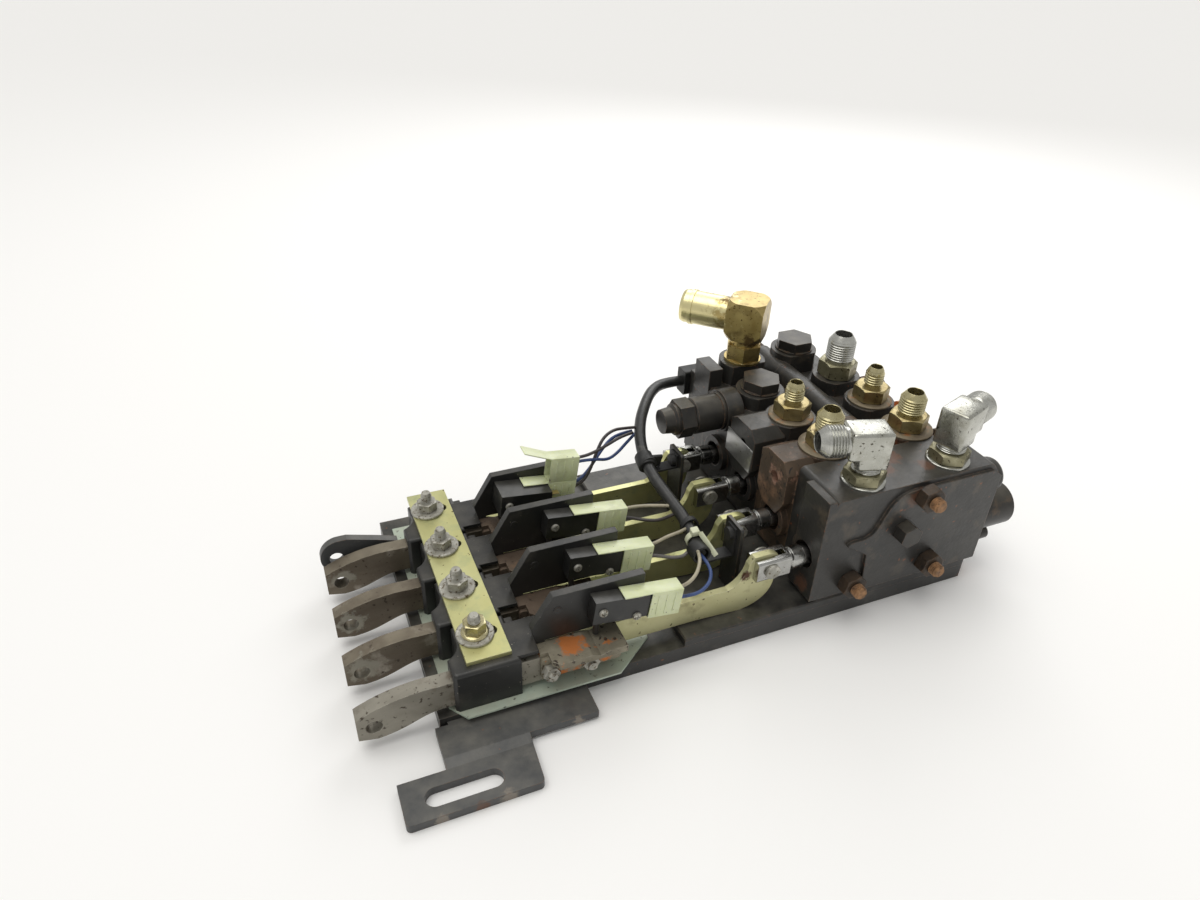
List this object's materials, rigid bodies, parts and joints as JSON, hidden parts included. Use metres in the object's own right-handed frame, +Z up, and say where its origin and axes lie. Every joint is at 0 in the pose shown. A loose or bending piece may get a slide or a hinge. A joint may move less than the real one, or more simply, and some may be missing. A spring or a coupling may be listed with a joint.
{
  "type": "directional control valve with lever linkages",
  "caption": "Stacked spool valve on a base plate, with sliding lever bars, links, forks, micro switches and hose fittings.",
  "frame": {"origin": "on the floor, at the middle of the base's left end wall, half way between the four spools", "axes": "+X along the levers and spools towards the valve, +Y across the stations away from the slotted plate, +Z up"},
  "size_m": [0.488, 0.2931, 0.1655],
  "materials": {
    "painted_black": "semi-gloss paint, chipped at its edges",
    "pale_sheet": "pale green, matt",
    "black_moulding": "black, satin",
    "brown_steel": "brown, lightly rusted",
    "yellow_zinc": "yellow passivated zinc",
    "grey_zinc": "grey zinc, corroded",
    "chrome_fork": "bright plated",
    "polished_spool": "ground",
    "switch_plastic": "black, satin",
    "cover_plastic": "pale yellow-green, slightly translucent",
    "black_iron": "black paint on casting",
    "brown_iron": "rust brown casting",
    "dark_steel": "dark, semi-gloss",
    "gold_zinc": "gold passivated zinc",
    "silver_zinc": "silver zinc, spotted",
    "brass": "satin brass",
    "seal_rubber": "black",
    "cable_black": "black tape and clips",
    "wire_grey": "insulated wire, beige, grey and blue"
  },
  "bodies": {
    "base": {"base_channel": "painted_black", "clamp_bolts": "grey_zinc", "clamp_nuts": "grey_zinc", "clamp_strip": "yellow_zinc", "elbow_fittings": "silver_zinc", "guide_block_1": "black_moulding", "guide_block_2": "black_moulding", "guide_block_3": "black_moulding", "guide_block_4": "black_moulding", "harness": "cable_black", "harness_fittings": "cable_black", "hose_elbow": "brass", "inlet_section": "black_iron", "lug_plate": "painted_black", "mounting_plate": "painted_black", "port_fittings": "gold_zinc", "port_plugs": "dark_steel", "relief_cartridge": "dark_steel", "section_1": "black_iron", "section_2": "brown_iron", "section_3": "black_iron", "section_4": "black_iron", "slide_plate": "pale_sheet", "spool_caps": "dark_steel", "spool_seals": "seal_rubber", "switch_screws": "grey_zinc", "switch_wires": "wire_grey", "switches": "switch_plastic", "terminal_covers": "cover_plastic", "tie_rods": "dark_steel", "upright_brackets": "painted_black", "valve_plate": "painted_black"},
    "lever_1": {"lever_arm_1": "brown_steel", "cam_1": "brown_steel", "link_1": "yellow_zinc", "fork_1": "chrome_fork", "link_fasteners_1": "grey_zinc", "spool_1": "polished_spool"},
    "lever_2": {"lever_arm_2": "brown_steel", "cam_2": "brown_steel", "link_2": "yellow_zinc", "fork_2": "chrome_fork", "link_fasteners_2": "grey_zinc", "spool_2": "polished_spool"},
    "lever_3": {"lever_arm_3": "brown_steel", "cam_3": "brown_steel", "link_3": "yellow_zinc", "fork_3": "chrome_fork", "link_fasteners_3": "grey_zinc", "spool_3": "polished_spool"},
    "lever_4": {"lever_arm_4": "brown_steel", "cam_4": "brown_steel", "link_4": "yellow_zinc", "fork_4": "chrome_fork", "link_fasteners_4": "grey_zinc", "spool_4": "polished_spool"},
    "plunger_1": {"plunger_1": "switch_plastic"},
    "plunger_2": {"plunger_2": "switch_plastic"},
    "plunger_3": {"plunger_3": "switch_plastic"},
    "plunger_4": {"plunger_4": "switch_plastic"}
  },
  "joints": [
    {"name": "spool_slide_1", "type": "slide", "parent": "base", "child": "lever_1", "axis": [1, 0, 0], "range_m": [-0.0065, 0.0065], "stiffness_N_per_m": 6000},
    {"name": "spool_slide_2", "type": "slide", "parent": "base", "child": "lever_2", "axis": [1, 0, 0], "range_m": [-0.0065, 0.0065], "stiffness_N_per_m": 6000},
    {"name": "spool_slide_3", "type": "slide", "parent": "base", "child": "lever_3", "axis": [1, 0, 0], "range_m": [-0.0065, 0.0065], "stiffness_N_per_m": 6000},
    {"name": "spool_slide_4", "type": "slide", "parent": "base", "child": "lever_4", "axis": [1, 0, 0], "range_m": [-0.0065, 0.0065], "stiffness_N_per_m": 6000},
    {"name": "plunger_slide_1", "type": "slide", "parent": "base", "child": "plunger_1", "axis": [0, 0, 1], "range_m": [0, 0.0015], "stiffness_N_per_m": 400, "springref_m": -0.001},
    {"name": "plunger_slide_2", "type": "slide", "parent": "base", "child": "plunger_2", "axis": [0, 0, 1], "range_m": [0, 0.0015], "stiffness_N_per_m": 400, "springref_m": -0.001},
    {"name": "plunger_slide_3", "type": "slide", "parent": "base", "child": "plunger_3", "axis": [0, 0, 1], "range_m": [0, 0.0015], "stiffness_N_per_m": 400, "springref_m": -0.001},
    {"name": "plunger_slide_4", "type": "slide", "parent": "base", "child": "plunger_4", "axis": [0, 0, 1], "range_m": [0, 0.0015], "stiffness_N_per_m": 400, "springref_m": -0.001}
  ]
}
